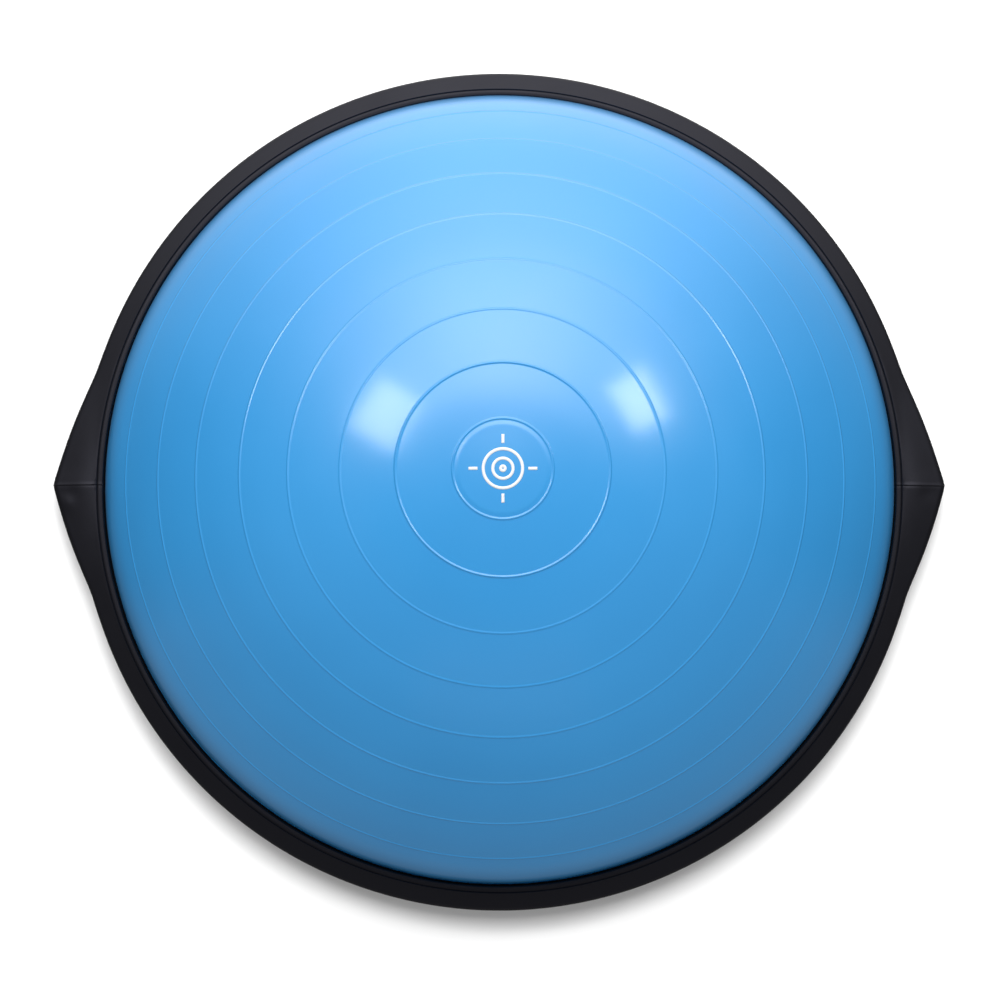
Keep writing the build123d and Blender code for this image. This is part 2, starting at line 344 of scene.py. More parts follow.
def print_tick(start, end, angle):
    """A short straight stroke that points at the crown."""
    def place(u, v, lift):
        along = start + (end - start) * v
        side = (u - 0.5) * stroke
        return on_skin(math.hypot(along, side), angle - math.atan2(side, along), lift)
    print_patch(place, 2, 8, False)


print_ring(14 * mm)
print_ring(7.2 * mm)
print_ring(1.6 * mm)
for quarter in range(4):
    print_tick(18 * mm, 24.5 * mm, math.radians(90 * quarter))
crown_print = new_piece("crown_print", mark_points, mark_faces)
print("crown_print:", len(mark_faces), "faces")

# %% [markdown]
# ## How the dome moves
#
# When someone steps on the crown the whole skin sinks, while its foot stays in the clamp. Here
# the skin and the printed mark are both hung on the platform's body, each with a mesh of its own,
# and the press's travel is read from the frame's joint.

# %% Dome and print hang on the platform
press = next(j for j in frame["joints"] if j["name"] == "dome_press")
travel = max(press["range_m"])
for soft_piece in (dome, crown_print):
    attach(soft_piece, "platform")
    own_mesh(soft_piece)
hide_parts("dome_bladder")

# %% [markdown]
# ## Tools for drawing a section
#
# A section is a list of points, each a radius and a height. Two kinds of run are enough for the
# rim: a straight one and an arc. Both give evenly spaced points, because every point of the section
# has to have a partner in a second section of another shape.

# %% Section tools
def arc(centre, radius, start, end, steps):
    """Points on an arc in (radius, height), angles in degrees."""
    made = []
    for k in range(steps + 1):
        angle = math.radians(start + (end - start) * k / steps)
        made.append((centre[0] + radius * math.cos(angle), centre[1] + radius * math.sin(angle)))
    return made


def straight(a, b, steps):
    """Evenly spaced points from a to b, without a itself."""
    run_r, run_z = b[0] - a[0], b[1] - a[1]
    return [(a[0] + run_r * k / steps, a[1] + run_z * k / steps) for k in range(1, steps + 1)]


parting_z = 24 * mm          # the mould's parting line stands out a hair from the upright wall
parting_half_width = 0.4 * mm
parting_height = 0.25 * mm


def down_to_parting(start, radius):
    """The upper wall, and the parting line at its foot."""
    upper = straight(start, (radius, parting_z + parting_half_width), 3)
    return upper + [(radius + parting_height, parting_z), (radius, parting_z - parting_half_width)]


print("parting line at", round(parting_z, 4), "of a rim", round(lip_z, 4), "high")

# %% [markdown]
# ## The rubber rim: one section, two shapes
#
# The rim is moulded in one piece. Away from the grips its section is the same all the way round: a
# rolled lip beside the dome, a fine groove, a sloping top, a rounded edge, an upright wall, and a
# flap turned under the platform. Over a grip the outer part of that section is pulled out to a
# point, while the lip and the groove stay round.
#
# So each point of the section is written twice: where it is on the plain rim, and where it is at a
# grip's ridge. Points that stay round have the same radius in both. The lip comes first.

# %% Rim lip
groove = lip_radius + 4.6 * mm
lip_roll = 1.0 * mm
top_start = (groove + 0.8 * mm, lip_z - 0.55 * mm)
lip = [
    (lip_radius, lip_z - 2.8 * mm),
    *arc((lip_radius + lip_roll, lip_z - lip_roll), lip_roll, 180, 90, 5),
    (lip_radius + 2.6 * mm, lip_z - 0.02 * mm),
    (groove - 0.75 * mm, lip_z - 0.2 * mm),
    (groove - 0.35 * mm, lip_z - 0.5 * mm),
    (groove, lip_z - 1.05 * mm),
    (groove + 0.4 * mm, lip_z - 0.85 * mm),
    top_start,
]
print("points in the lip:", len(lip))

# %% [markdown]
# ## The outer part, plain and pulled
#
# From the groove outwards the plain rim slopes down a little, turns over a round edge and drops
# straight to the floor side. At a ridge the same points run much further out, and the wall leans
# back in under the grip, so that fingers find an edge to hold.

# %% Rim outside
top_roll = 6.0 * mm
low_roll = 6.0 * mm
nose_roll = 7.0 * mm
tip_blunting = 0.35 * mm     # the point is drawn this much too far out, and then rounded off
nose = grip_reach + tip_blunting
slope_steps = 12
plain_edge = arc((rim_radius - top_roll, 36.5 * mm), top_roll, 64, 0, 7)
nose_edge = arc((nose - nose_roll, 32.0 * mm), nose_roll, 76, 0, 7)
plain_slope = straight(top_start, plain_edge[0], slope_steps)
nose_slope = straight(top_start, nose_edge[0], slope_steps)
plain_wall = down_to_parting(plain_edge[-1], rim_radius)
plain_wall += straight(plain_wall[-1], (rim_radius, underside_z + low_roll), 3)
nose_wall = down_to_parting(nose_edge[-1], nose)
nose_wall += straight(nose_wall[-1], (nose - 1.0 * mm, 17 * mm), 3)
plain_low = arc((rim_radius - low_roll, underside_z + low_roll), low_roll, 0, -90, 6)[1:]
nose_low = straight(nose_wall[-1], (nose - 5.5 * mm, 8 * mm), 3)
nose_low += straight(nose_low[-1], (nose - 16 * mm, underside_z), 3)
print("edge at", round(rim_radius, 4), "plain and", round(nose, 4), "at a ridge")

# %% [markdown]
# ## The flap and the inside
#
# The flap runs in under the platform. The inside of the rubber closes the hoop: it keeps off the
# platform's wall, and over a grip it follows the hard corner that stretches the rubber.

# %% Rim section
flap_edge = 304.3 * mm
flap_end = (flap_edge + 0.5 * mm, underside_z)
flap_steps = 4
flap_top = underside_z + 2.5 * mm
wall_inside = 320 * mm
plain_flap = straight((rim_radius - low_roll, underside_z), flap_end, flap_steps)
nose_flap = straight((nose - 16 * mm, underside_z), flap_end, flap_steps)
inside = [
    ((flap_edge, underside_z + 0.5 * mm), None),
    ((flap_edge, flap_top), None),
    ((wall_inside, flap_top), (327.5 * mm, 6.2 * mm)),
    ((wall_inside, 8.5 * mm), (338.8 * mm, 11.2 * mm)),
    ((wall_inside, 20 * mm), (342.8 * mm, 19.7 * mm)),
    ((wall_inside, 33 * mm), (342.8 * mm, 31 * mm)),
    ((wall_inside, 39.5 * mm), (337.2 * mm, 37.2 * mm)),
    ((309 * mm, lip_z - 2.8 * mm), None),
]
rim_section = [(point, point) for point in lip]
first_slope = len(rim_section)
for plain, pulled in (
    (plain_slope, nose_slope),
    (plain_edge[1:], nose_edge[1:]),
    (plain_wall, nose_wall),
    (plain_low, nose_low),
    (plain_flap, nose_flap),
):
    rim_section += zip(plain, pulled)
rim_section += [(plain, pulled or plain) for plain, pulled in inside]
print("points in the rim's section:", len(rim_section))

# %% [markdown]
# ## Stretching the section over a grip
#
# Rubber pulled over a point lies in nearly flat facets, from the point to where it meets the round
# rim again. In plan that is close to a straight line, so at any bearing the stretched radius is
# where a ray from the centre crosses the line, plus a slight bow in the middle. Rubber can't fold
# sharply, so the line and the circle are blended with a soft maximum, which leaves a gentle hollow
# where they meet.

# %% Facets in plan
grip_shift = 2.8 * mm
ridge_bearing = math.atan2(grip_shift, grip_reach)
facet_ends = {1: math.radians(16.7), -1: math.radians(-15.0)}
facet_softness = 0.9 * mm
facet_bulge = 2.3 * mm       # the rubber bows out this much halfway along a facet
full_pull = 20 * mm          # points pulled out less than this share the bow and the rounded tip less
past_end_fall = 0.08         # beyond the facet's end its line sinks away under the round rim


def facet_length_angle(side):
    """The angle from the ridge to the far end of a facet, with its sign."""
    return facet_ends[side] - ridge_bearing


def chord(plain, pulled, off, side):
    """Radius of the facet at an angle off the ridge, and the share of the way from ridge to rim."""
    end = facet_length_angle(side)
    tip = Vector((pulled, 0))
    root = Vector((plain * math.cos(end), plain * math.sin(end)))
    ray = Vector((math.cos(off), math.sin(off)))
    run_out = root - tip
    crossing = ray.x * run_out.y - ray.y * run_out.x
    radius = (tip.x * run_out.y - tip.y * run_out.x) / crossing
    share = (ray * radius - tip).dot(run_out) / run_out.dot(run_out)
    if share > 1:
        radius = plain - past_end_fall * run_out.length * (share - 1)
    elif share > 0:
        radius += facet_bulge * math.sin(math.pi * share) * min(1.0, (pulled - plain) / full_pull)
    return radius, share


def soft_max(a, b, softness):
    """The larger of two lengths, with the change from one to the other rounded."""
    gap = (a - b) / softness
    if abs(gap) > 20:
        return max(a, b)
    return b + softness * math.log1p(math.exp(gap))


print("ridge bearing, degrees:", round(math.degrees(ridge_bearing), 2))

# %% [markdown]
# ## What the eye reads as stretched
#
# Three small things lie on top of the facets. A ridge swells a little above them, a moulding seam
# runs along it with one soft side and one steep side, and beside the ridge there are soft dents and
# bumps where the grip's corner pushes.

# %% Seam and dents
ridge_swell = 1.7 * mm
seam_height = 0.32 * mm
seam_drop = 0.6 * mm
both_grips = (1, -1)
dents = [                    # height, distance out, distance past the ridge, spread, on which grips
    (-1.0 * mm, 331 * mm, -5.5 * mm, 4.2 * mm, both_grips),
    (-0.30 * mm, 327 * mm, 9 * mm, 7 * mm, both_grips),
    (1.3 * mm, 333.5 * mm, -14.5 * mm, 3.6 * mm, (-1,)),
]


def seam_lift(across):
    """The moulding seam along the ridge: a long soft rise, then a short steep drop."""
    if across >= 0:
        return seam_height * (1 - smooth_step(across / (4 * seam_drop)))
    if across > -seam_drop:
        return seam_height * (1 + 1.7 * across / seam_drop)
    return -0.7 * seam_height * (1 - smooth_step((-across - seam_drop) / (3 * seam_drop)))


def dent_lift(x, y, grip_sign):
    """All soft dents and bumps of one grip, added up at a place."""
    lift = 0.0
    for height, dent_x, dent_y, spread, grips in dents:
        if grip_sign in grips:
            lift += height * math.exp(-((x - dent_x) ** 2 + (y - dent_y) ** 2) / (2 * spread**2))
    return lift


print("dents and bumps:", len(dents), "kinds, seam", round(seam_height / mm, 2), "mm high")

# %% [markdown]
# ## One point of the stretched rim
#
# The radius comes from the facet and the height fades from the ridge's section to the plain one.
# The swelling, the seam and the dents are then added, but only on the top side, and the dents grow
# from nothing at the groove to their full depth at the outer edge.

# %% Stretched point
grip_zone = math.radians(24)
tip_width = 3.2 * mm
fade_length = 1.15           # the height fades over a little more than the facet's length
seam_end = first_slope + slope_steps + 10


def rim_point(index, off, grip_sign):
    """A point of the rim. off is the angle past the ridge; grip_sign is +1 for the +X grip."""
    (plain_r, plain_z), (nose_r, nose_z) = rim_section[index]
    radius, z = plain_r, plain_z
    if abs(off) >= grip_zone:
        return radius, z
    side = 1 if off >= 0 else -1
    if nose_r > plain_r + 1e-6:
        out, share = chord(plain_r, nose_r, off, side)
        radius = soft_max(out, plain_r, facet_softness)
        hold = 0.5 * (1 - smooth_step(share / fade_length)) + 0.5 * max(0.0, 1 - share)
        z = plain_z + (nose_z - plain_z) * hold
        blunting = tip_blunting * math.exp(-((off * nose_r) / tip_width) ** 2)
        radius -= blunting * min(1.0, (nose_r - plain_r) / full_pull)
    share_out = min(max((index - first_slope + 1) / slope_steps, 0.0), 1.0)
    if first_slope <= index < first_slope + slope_steps + 4:
        hold = max(0.0, 1 - off / facet_length_angle(side))
        z += ridge_swell * hold * math.sin(math.pi * share_out**0.8)
    if index < seam_end:
        z += seam_lift(off * radius) * (0.6 if index < first_slope else 1.0)
        z += dent_lift(radius * math.cos(off), off * radius, grip_sign) * share_out
    return radius, z


print("height of the ridge at its outer end:", round(rim_point(first_slope + slope_steps, 0, 1)[1], 4))

# %% [markdown]
# ## Laying the columns round the rim
#
# The columns stand close together at each ridge, where the seam's steep side is less than a
# millimetre wide, and spread out over the plain rim. One half of the rim is worked out, and the
# other half is its mirror image, apart from the dents.

# %% Rim mesh
from_ridge_mm = [
    0, 0.22, 0.45, 0.7, 0.95, 1.4, 2.1, 3.1, 4.4, 6.0, 8.0, 10.3, 13, 16, 19.5, 23.5, 28, 33, 38.5, 44.5,
]
near_ridge = [distance * mm / grip_reach for distance in from_ridge_mm]
edge_of_near = near_ridge[-1]
plain_columns = 150


def angles_off_ridge(reach, sign):
    """Angles from a ridge to the end of its quarter, close together at first."""
    near = [sign * angle for angle in near_ridge]
    plain = [
        sign * (edge_of_near + (reach - edge_of_near) * (k / plain_columns) ** 1.15)
        for k in range(1, plain_columns + 1)
    ]
    return near + plain


quarter_up = angles_off_ridge(math.pi / 2 - ridge_bearing, 1)
quarter_down = angles_off_ridge(math.pi / 2 + ridge_bearing, -1)
half_turn = quarter_down[::-1] + quarter_up[1:]
columns = []
for grip_sign in (1, -1):
    order = half_turn if grip_sign > 0 else half_turn[::-1]
    for off in order[:-1]:
        bearing = ridge_bearing + off
        column = []
        for index in range(len(rim_section)):
            r, z = rim_point(index, off, grip_sign)
            column.append((grip_sign * r * math.cos(bearing), r * math.sin(bearing), z))
        columns.append(column)
rim = ring_of_sections("rubber_rim", columns, closed_section=True)

# %% [markdown]
# ## Cutting the rubber over the finger hollows
#
# Seen from below, the flap has a window under each grip, where fingers reach into the platform.
# The window follows the hollow's outline, one millimetre wider all round. A boolean cut is the
# simplest way to get a clean upright edge through a surface that wasn't drawn with a hole in it.
# The cutter is thrown away afterwards.

# %% Finger windows
hollow_half = 45 * mm
window_outline = [
    (287 * mm, grip_shift - hollow_half),
    (320.6 * mm, grip_shift - hollow_half),
    (337.1 * mm, grip_shift),
    (320.1 * mm, grip_shift + hollow_half),
    (287 * mm, grip_shift + hollow_half),
]
window_corner = 8 * mm


def rounded(outline, radius, steps=6):
    """The outline with each corner replaced by a curve that starts a radius before it."""
    made = []
    for k, corner in enumerate(outline):
        corner = Vector(corner)
        before = (Vector(outline[k - 1]) - corner).normalized() * radius + corner
        after = (Vector(outline[(k + 1) % len(outline)]) - corner).normalized() * radius + corner
        for s in range(steps + 1):
            t = s / steps
            made.append(before * (1 - t) ** 2 + corner * 2 * t * (1 - t) + after * t**2)
    return made


def cut_window(piece, mirror_sign):
    """Cuts one window through the turned-under flap."""
    plan = rounded(window_outline, window_corner)
    count = len(plan)
    points = [(mirror_sign * p.x, p.y, z) for z in (-10 * mm, 12 * mm) for p in plan]
    faces = [tuple(range(count))[::-1], tuple(range(count, 2 * count))]
    faces += [(k, (k + 1) % count, count + (k + 1) % count, count + k) for k in range(count)]
    if mirror_sign < 0:
        faces = [f[::-1] for f in faces]
    cutter = new_piece("window_cutter", points, faces)
    cut = piece.modifiers.new("window", "BOOLEAN")
    cut.operation = "DIFFERENCE"
    cut.solver = "EXACT"
    cut.object = cutter
    evaluated = piece.evaluated_get(bpy.context.evaluated_depsgraph_get())
    mesh = bpy.data.meshes.new_from_object(evaluated)
    piece.modifiers.remove(cut)
    piece.data = mesh
    bpy.data.objects.remove(cutter)


for mirror_sign in (1, -1):
    cut_window(rim, mirror_sign)
rim.data.shade_smooth()
sharpen(rim, 38)
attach(rim, "platform")
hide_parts("rim_skirt")
print("rim after cutting:", len(rim.data.polygons), "faces")

# %% [markdown]
# ## Building finishes from small parts
#
# Every finish below is a Principled shader with a few procedural parts plugged into it. The first
# helpers make nodes: one makes any node and wires its inputs, one makes noise with blobs of a given
# size, one turns a grey value into a range, and one blends two colours. All patterns use object
# coordinates, so they stay fixed to the piece and keep their real size.

# %% Pattern helpers
def new_finish(name):
    """A new material and its Principled shader."""
    material = bpy.data.materials.new(name)
    material.use_nodes = True
    shader = next(n for n in material.node_tree.nodes if n.type == "BSDF_PRINCIPLED")
    return material, shader


def node(material, kind, inputs=None, **settings):
    """A node of a kind. Inputs are values or the outputs of other nodes."""
    made = material.node_tree.nodes.new(kind)
    for key, value in settings.items():
        setattr(made, key, value)
    for key, value in (inputs or {}).items():
        if isinstance(value, bpy.types.NodeSocket):
            material.node_tree.links.new(value, made.inputs[key])
        else:
            made.inputs[key].default_value = value
    return made


def speckle(material, size, detail=3.0, rough=0.5, stretch_by=None):
    """Noise whose blobs are about this many metres across, as a value from 0 to 1."""
    vector = node(material, "ShaderNodeTexCoord").outputs["Object"]
    if stretch_by:
        mapping = node(material, "ShaderNodeMapping", {"Vector": vector, "Scale": stretch_by})
        vector = mapping.outputs["Vector"]
    return node(material, "ShaderNodeTexNoise", {
        "Vector": vector, "Scale": 1 / size, "Detail": detail, "Roughness": rough,
    }).outputs["Fac"]


def ranged(material, value, low, high, from_low=0.3, from_high=0.7):
    """Maps a value from one range to another, and stops at the ends."""
    return node(material, "ShaderNodeMapRange", {
        "Value": value, "From Min": from_low, "From Max": from_high, "To Min": low, "To Max": high,
    }, clamp=True).outputs["Result"]


def between(material, value, first, second):
    """A colour between two, by a value from 0 to 1."""
    mix = node(material, "ShaderNodeMix", data_type="RGBA")
    material.node_tree.links.new(value, mix.inputs[0])
    for socket, colour in ((6, first), (7, second)):
        if isinstance(colour, bpy.types.NodeSocket):
            material.node_tree.links.new(colour, mix.inputs[socket])
        else:
            mix.inputs[socket].default_value = (*colour, 1)
    return mix.outputs[2]


print("noise blobs of 2 mm are a noise scale of", round(1 / (2 * mm)))

# %% [markdown]
# ## Wiring a finish
#
# Three more helpers finish the job. Bumps are stacked, so that a slow swelling and a fine grain can
# have depths of their own, in metres. Patterns go to the shader's sockets by name. Then the finish
# is given to a piece, in place of whatever it wore before.

# %% Wiring helpers
def bumps(material, *layers):
    """Stacked bump layers, each a (height value, depth in metres)."""
    normal = None
    for height, depth in layers:
        inputs = {"Height": height, "Distance": depth, "Strength": 1.0}
        if normal is not None:
            inputs["Normal"] = normal
        normal = node(material, "ShaderNodeBump", inputs).outputs["Normal"]
    return normal


def plug(material, shader, **links):
    """Wires values into the shader's sockets, by socket name with _ for a space."""
    for key, value in links.items():
        socket = shader.inputs[key.replace("_", " ")]
        if isinstance(value, bpy.types.NodeSocket):
            material.node_tree.links.new(value, socket)
        else:
            socket.default_value = value


def dress(piece, material):
    """Gives a piece one finish."""
    piece.data.materials.clear()
    piece.data.materials.append(material)
    print(piece.name, "wears", material.name)


print("wiring helpers ready: bumps, plug, dress")

# %% [markdown]
# ## Sky-blue vinyl
#
# Soft PVC has a skin like still water: glossy, but never flat. Two things make it read as vinyl and
# not as paint. The surface swells and dips by a fraction of a millimetre over a hand's width, which
# bends the edges of every reflection. And its gloss varies, because hands and feet have polished
# some places and dulled others.
#
# The gloss has two layers. The plasticised skin gives a clear, tight reflection, which the coat
# stands for. The coloured vinyl just below it gives a softer one. The floor of the air space is cut
# from the same sheet.

# %% Dome finish
def dome_vinyl():
    """Glossy blue soft PVC."""
    material, shader = new_finish("dome_vinyl")
    cloud = speckle(material, 160 * mm, 2, 0.5)
    haze = speckle(material, 38 * mm, 3, 0.5)
    fine = speckle(material, 2.2 * mm, 2, 0.5)
    deep_blue, sky_blue = (0.027, 0.335, 0.775), (0.032, 0.360, 0.820)
    plug(
        material, shader,
        Base_Color=between(material, ranged(material, cloud, 0, 1), deep_blue, sky_blue),
        Roughness=ranged(material, haze, 0.30, 0.38),
        Coat_Normal=bumps(material, (cloud, 1.2 * mm), (haze, 0.05 * mm)),
        Normal=bumps(material, (cloud, 1.2 * mm), (haze, 0.05 * mm), (fine, 0.004 * mm)),
    )
    shader.inputs["IOR"].default_value = 1.5
    shader.inputs["Coat Weight"].default_value = 1.0
    shader.inputs["Coat IOR"].default_value = 1.6
    shader.inputs["Coat Roughness"].default_value = 0.16
    return material


dome_finish = dome_vinyl()
dress(dome, dome_finish)
dress(frame["nodes"]["bladder_floor"], dome_finish)

# %% [markdown]
# ## White ink
#
# Screen ink on vinyl is a flat, slightly chalky film. Shoes wear it, so it has small patches that
# are a little greyer and duller.

# %% Ink finish
def white_ink():
    """White screen ink."""
    material, shader = new_finish("white_ink")
    worn = speckle(material, 1.4 * mm, 4, 0.7)
    fresh_white, worn_white = (0.96, 0.97, 0.98), (0.90, 0.93, 0.96)
    wear = ranged(material, worn, 0, 1, 0.35, 0.7)
    plug(
        material, shader,
        Base_Color=between(material, wear, fresh_white, worn_white),
        Roughness=ranged(material, worn, 0.35, 0.5),
        Normal=bumps(material, (worn, 0.02 * mm)),
    )
    return material


dress(crown_print, white_ink())

# %% [markdown]
# ## Charcoal rubber
#
# Moulded rubber leaves the tool with an even, very fine grain and no real gloss. Its tone and its
# gloss drift slowly from patch to patch, with how the mix filled the mould. The black has a touch of
# blue, as carbon black has, and so does the light it throws back.

# %% Rim finish
def rim_rubber():
    """Satin charcoal rubber."""
    material, shader = new_finish("rim_rubber")
    patch = speckle(material, 55 * mm, 4, 0.6)
    grain = speckle(material, 0.5 * mm, 2, 0.6)
    pores = speckle(material, 2.6 * mm, 3, 0.6)
    dark, less_dark = (0.0018, 0.0018, 0.0028), (0.0030, 0.0030, 0.0042)
    plug(
        material, shader,
        Base_Color=between(material, ranged(material, patch, 0, 1), dark, less_dark),
        Roughness=ranged(material, patch, 0.42, 0.52),
        Normal=bumps(material, (pores, 0.03 * mm), (grain, 0.012 * mm)),
    )
    shader.inputs["Specular IOR Level"].default_value = 0.40
    shader.inputs["Specular Tint"].default_value = (0.82, 0.82, 1.0, 1)
    return material


dress(rim, rim_rubber())

# %% [markdown]
# ## Dusty feet
#
# The feet stand on the floor, so their rubber picks up pale dust in blotches, and is duller there.
# The soft washer under the valve's nut is the same rubber.

# %% Foot finish
def foot_rubber():
    """Dull black rubber with dust."""
    material, shader = new_finish("foot_rubber")
    dust = speckle(material, 9 * mm, 5, 0.65)
    grain = speckle(material, 0.4 * mm, 2, 0.6)
    clean, dusty = (0.030, 0.030, 0.031), (0.085, 0.080, 0.074)
    plug(
        material, shader,
        Base_Color=between(material, ranged(material, dust, 0, 1, 0.45, 0.75), clean, dusty),
        Roughness=ranged(material, dust, 0.62, 0.85),
        Normal=bumps(material, (dust, 0.06 * mm), (grain, 0.02 * mm)),
    )
    return material


foot_finish = foot_rubber()
for number in range(1, 9):
    dress(frame["nodes"][f"foot_{number}"], foot_finish)
dress(frame["nodes"]["valve_washer"], foot_finish)

# %% [markdown]
# ## Platform plastic
#
# The platform is a black moulding with the matt, pebbled surface that spark erosion leaves in a
# tool. It is slid across floors, so it also has grey scuffs, longer one way than the other.

# %% Platform finish
def platform_plastic():
    """Pebbled black plastic with scuffs."""
    material, shader = new_finish("platform_plastic")
    pebble = speckle(material, 0.8 * mm, 3, 0.6)
    flow = speckle(material, 90 * mm, 4, 0.6)
    scuff = speckle(material, 14 * mm, 6, 0.7, stretch_by=(1, 5, 1))
    black, soft_black, scuffed = (0.017, 0.017, 0.018), (0.025, 0.025, 0.026), (0.09, 0.09, 0.088)
    base = between(material, ranged(material, flow, 0, 1), black, soft_black)
    plug(
        material, shader,
        Base_Color=between(material, ranged(material, scuff, 0, 0.6, 0.62, 0.78), base, scuffed),
        Roughness=ranged(material, scuff, 0.48, 0.70),
        Normal=bumps(material, (flow, 0.5 * mm), (pebble, 0.05 * mm)),
    )
    return material


dress(frame["nodes"]["platform_deck"], platform_plastic())

# %% [markdown]
# ## Plastics inside
#
# The upper deck, which nobody sees, is the same plastic straight off a smooth tool. The clamp ring
# shows in the thin gap between the skin and the rubber. It is coarse, matt and very black, so the
# gap reads as a dark line.

# %% Inner finishes
def inner_plastic():
    """Smooth dark plastic with flow marks."""
    material, shader = new_finish("inner_plastic")
    flow = speckle(material, 60 * mm, 4, 0.6, stretch_by=(1, 3, 1))
    fine = speckle(material, 1.5 * mm, 2, 0.5)
    dark, light = (0.035, 0.035, 0.037), (0.055, 0.055, 0.056)
    plug(
        material, shader,
        Base_Color=between(material, ranged(material, flow, 0, 1), dark, light),
        Roughness=ranged(material, flow, 0.32, 0.45),
        Normal=bumps(material, (flow, 0.3 * mm), (fine, 0.01 * mm)),
    )
    return material


def clamp_plastic():
    """Coarse matt black plastic."""
    material, shader = new_finish("clamp_plastic")
    pebble = speckle(material, 0.6 * mm, 3, 0.6)
    patch = speckle(material, 20 * mm, 3, 0.6)
    dark, light = (0.0020, 0.0020, 0.0022), (0.0032, 0.0032, 0.0034)
    plug(
        material, shader,
        Base_Color=between(material, ranged(material, patch, 0, 1), dark, light),
        Roughness=ranged(material, patch, 0.75, 0.90),
        Normal=bumps(material, (pebble, 0.04 * mm)),
    )
    shader.inputs["Specular IOR Level"].default_value = 0.15
    return material


dress(frame["nodes"]["upper_deck"], inner_plastic())
dress(frame["nodes"]["clamp_ring"], clamp_plastic())

# %% [markdown]
# ## The air valve
#
# Valve parts are moulded in a pale, slightly waxy plastic, so that the plug can be found under a
# black platform. Light goes a little way into it.

# %% Valve finish
def valve_plastic():
    """Pale waxy plastic."""
    material, shader = new_finish("valve_plastic")
    cloud = speckle(material, 6 * mm, 4, 0.6)
    fine = speckle(material, 0.4 * mm, 2, 0.5)
    grey, pale = (0.60, 0.60, 0.57), (0.70, 0.70, 0.67)
    plug(
        material, shader,
        Base_Color=between(material, ranged(material, cloud, 0, 1), grey, pale),
        Roughness=ranged(material, cloud, 0.36, 0.50),
        Normal=bumps(material, (cloud, 0.05 * mm), (fine, 0.008 * mm)),
    )
    shader.inputs["Subsurface Weight"].default_value = 0.1
    shader.inputs["Subsurface Scale"].default_value = 0.002
    return material


valve_finish = valve_plastic()
for name in ("valve_seat", "valve_nut", "valve_plug"):
    dress(frame["nodes"][name], valve_finish)

# %% [markdown]
# ## Zinc-plated screws
#
# Zinc has a bluish tone with a yellow bloom in places, and the driver leaves fine scratches that
# all run the same way.

# %% Screw finish
def screw_steel():
    """Zinc-plated steel."""
    material, shader = new_finish("screw_steel")
    bloom = speckle(material, 2.5 * mm, 4, 0.6)
    scratch = speckle(material, 0.35 * mm, 3, 0.6, stretch_by=(1, 6, 1))
    zinc, yellowed = (0.56, 0.57, 0.58), (0.66, 0.65, 0.60)
    plug(
        material, shader,
        Base_Color=between(material, ranged(material, bloom, 0, 1), zinc, yellowed),
        Roughness=ranged(material, scratch, 0.24, 0.42),
        Normal=bumps(material, (scratch, 0.01 * mm)),
    )
    shader.inputs["Metallic"].default_value = 1.0
    return material


dress(frame["nodes"]["clamp_screws"], screw_steel())

# %% [markdown]
# ## A white floor
#
# The floor is plain and nearly white, with the faintest drift in tone. It is left out of
# reflections and of bounced light. The trainer's own light is meant to fall off towards the foot of
# the dome, which turns deep blue there and isn't washed out by a white floor.

# %% Floor
floor_half = 9.0
floor = new_piece("studio_floor", [
    (-floor_half, -floor_half, 0), (floor_half, -floor_half, 0),
    (floor_half, floor_half, 0), (-floor_half, floor_half, 0),
], [(0, 1, 2, 3)])
floor_paint, floor_shader = new_finish("floor_paint")
drift = ranged(floor_paint, speckle(floor_paint, 400 * mm, 2, 0.5), 0, 1)
plug(
    floor_paint, floor_shader,
    Base_Color=between(floor_paint, drift, (0.90, 0.90, 0.90), (0.92, 0.92, 0.92)),
    Roughness=0.9,
)
floor_shader.inputs["Specular IOR Level"].default_value = 0.1
floor.visible_diffuse = False
floor.visible_glossy = False
dress(floor, floor_paint)

# %% [markdown]
# ## Four lamps
#
# The floor has a lamp of its own, nearly overhead. The lamp is linked to the floor, so it lifts the
# floor to clean white and leaves only a short shadow on the near side, while the trainer keeps the
# light that suits its skin.
#
# A large lamp low on the near side fills the near half of the dome. It is hidden from reflections,
# because a big soft reflection there would lie over the rings. Two small, strong soft boxes stand
# left and right on the far side, and each leaves one bright patch beside the crown.

# %% Lamps
def soft_box(name, towards, distance, wide, tall, radiance):
    """An area light that looks at the trainer. Its strength is given as radiance."""
    data = bpy.data.lights.new(name, "AREA")
    data.shape = "RECTANGLE"
    data.size = wide
    data.size_y = tall
    data.energy = radiance * wide * tall * math.pi
    light = bpy.data.objects.new(name, data)
    bpy.context.scene.collection.objects.link(light)
    facing = Vector(towards).normalized()
    light.matrix_world = Matrix.Translation(
        Vector((0, 0, 0.1)) + facing * distance
    ) @ facing.to_track_quat("Z", "Y").to_matrix().to_4x4()
    print(name, [round(v, 2) for v in light.matrix_world.translation])
    return light


floor_lamp = soft_box("floor_lamp", (0.0, 0.30, 0.954), 2.6, 0.9, 1.3, 13.3)
floor_only = bpy.data.collections.new("floor_only")
floor_only.objects.link(floor)
floor_lamp.light_linking.receiver_collection = floor_only
near_lamp = soft_box("near_lamp", (0.0, -0.79, 0.62), 2.4, 1.6, 1.0, 1.9)
near_lamp.visible_glossy = False
soft_box("left_box", (-0.470, 0.300, 0.830), 2.2, 0.55, 0.50, 6.5)
soft_box("right_box", (0.560, 0.350, 0.750), 2.2, 0.50, 0.45, 7.5)

# %% [markdown]
# ## Light that depends only on direction
#
# Everything else comes from the surroundings, which are a sum of simple lights seen by direction.
# Two helpers are enough: one makes a node of the world, and one makes a brightness that follows the
# height of a direction, from -1 for straight down to 1 for straight up.

